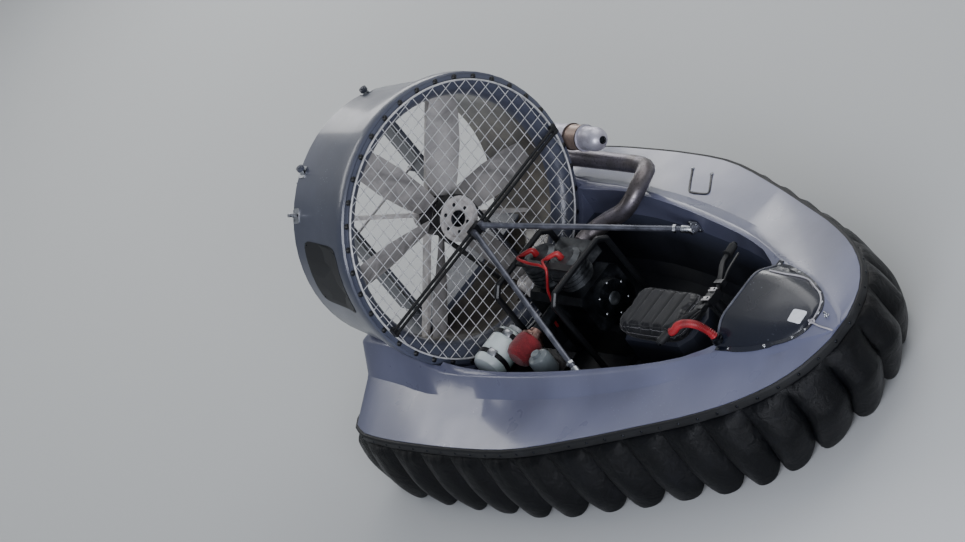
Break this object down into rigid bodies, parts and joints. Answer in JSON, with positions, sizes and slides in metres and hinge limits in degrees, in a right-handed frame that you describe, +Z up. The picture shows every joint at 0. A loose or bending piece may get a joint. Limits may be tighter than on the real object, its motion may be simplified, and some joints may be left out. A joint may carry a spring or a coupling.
{
  "type": "racing hovercraft",
  "caption": "Single-seat racing hovercraft with a moulded hull, a segmented skirt, a guarded belt-driven ducted fan, twin rudders and a handlebar.",
  "frame": {"origin": "centre of the overall box, on the ground under the landing skids", "axes": "+X forward to the bow, +Y to port, +Z up"},
  "size_m": [2.4338, 1.5838, 1.291],
  "materials": {
    "hull": "gloss gel coat, dark slate blue",
    "tub": "plain moulded laminate, dark grey",
    "black": "black trim and powder coat",
    "skirt": "coated black skirt fabric",
    "cowl": "gloss black",
    "steel": "zinc plated tube",
    "wire": "galvanised weldmesh",
    "blade": "pale grey moulded blade",
    "alloy": "machined alloy",
    "engine": "dark cast engine metal",
    "exhaust": "heat-tinted steel",
    "red": "red rubber and foam",
    "tank": "white translucent plastic",
    "olive": "grey-green plastic",
    "seat": "black seat cover"
  },
  "bodies": {
    "craft": {"hull_tub": "tub", "deck": "hull", "edge_strip": "black", "skirt_bow": "skirt", "skirt_stern": "skirt", "skirt_port": "skirt", "skirt_stbd": "skirt", "skid_port": "black", "skid_stbd": "black", "stay_port": "steel", "stay_stbd": "steel", "stay_foot_port": "steel", "stay_foot_stbd": "steel", "duct": "hull", "guard_ring": "black", "guard_mesh": "wire", "guard_bar": "black", "drive_belt": "black", "fan_spider": "alloy", "lift_splitter": "hull", "engine_case": "engine", "engine_cylinders": "engine", "engine_frame": "black", "tank_tray": "black", "fuel_tank": "tank", "oil_bottle": "olive", "air_filter": "red", "exhaust_pipe": "exhaust", "silencer": "exhaust", "seat_base": "tub", "seat_cushion": "seat", "cowl": "cowl", "steering_post": "black"},
    "fan_rotor": {"fan": "blade", "fan_pulley": "alloy"},
    "crank": {"crank_pulley": "alloy"},
    "rudder_port_body": {"rudder_port": "hull"},
    "rudder_stbd_body": {"rudder_stbd": "hull"},
    "tie_bar": {"rudder_tie_bar": "alloy"},
    "steering": {"handlebar": "black", "grip_port": "black", "grip_stbd": "black"}
  },
  "joints": [
    {"name": "fan_spin", "type": "hinge", "parent": "craft", "child": "fan_rotor", "pos_m": [-0.81992, 0, 0.745], "axis": [1, 0, 0], "continuous": true},
    {"name": "crank_spin", "type": "hinge", "parent": "craft", "child": "crank", "pos_m": [-0.73592, 0.06, 0.305], "axis": [1, 0, 0], "continuous": true},
    {"name": "handlebar_steer", "type": "hinge", "parent": "craft", "child": "steering", "pos_m": [0.54608, 0, 0.442], "axis": [-0.143, 0, 0.9897], "range_deg": [-35, 35]},
    {"name": "rudder_port_turn", "type": "hinge", "parent": "craft", "child": "rudder_port_body", "pos_m": [-1.07692, 0.2, 0.745], "axis": [0, 0, 1], "range_deg": [-30.5, 30.5]},
    {"name": "rudder_stbd_turn", "type": "hinge", "parent": "craft", "child": "rudder_stbd_body", "pos_m": [-1.07692, -0.2, 0.745], "axis": [0, 0, 1], "range_deg": [-30.5, 30.5]},
    {"name": "tie_bar_pivot", "type": "hinge", "parent": "rudder_port_body", "child": "tie_bar", "pos_m": [-1.20692, 0.2, 0.753], "axis": [0, 0, 1], "range_deg": [-30.5, 30.5]}
  ],
  "couplings": [
    {"joint": "crank_spin", "follows": "fan_spin", "ratio": 2.075},
    {"joint": "rudder_port_turn", "follows": "handlebar_steer", "ratio": -0.85714},
    {"joint": "rudder_stbd_turn", "follows": "handlebar_steer", "ratio": -0.85714},
    {"joint": "tie_bar_pivot", "follows": "handlebar_steer", "ratio": 0.85714}
  ]
}
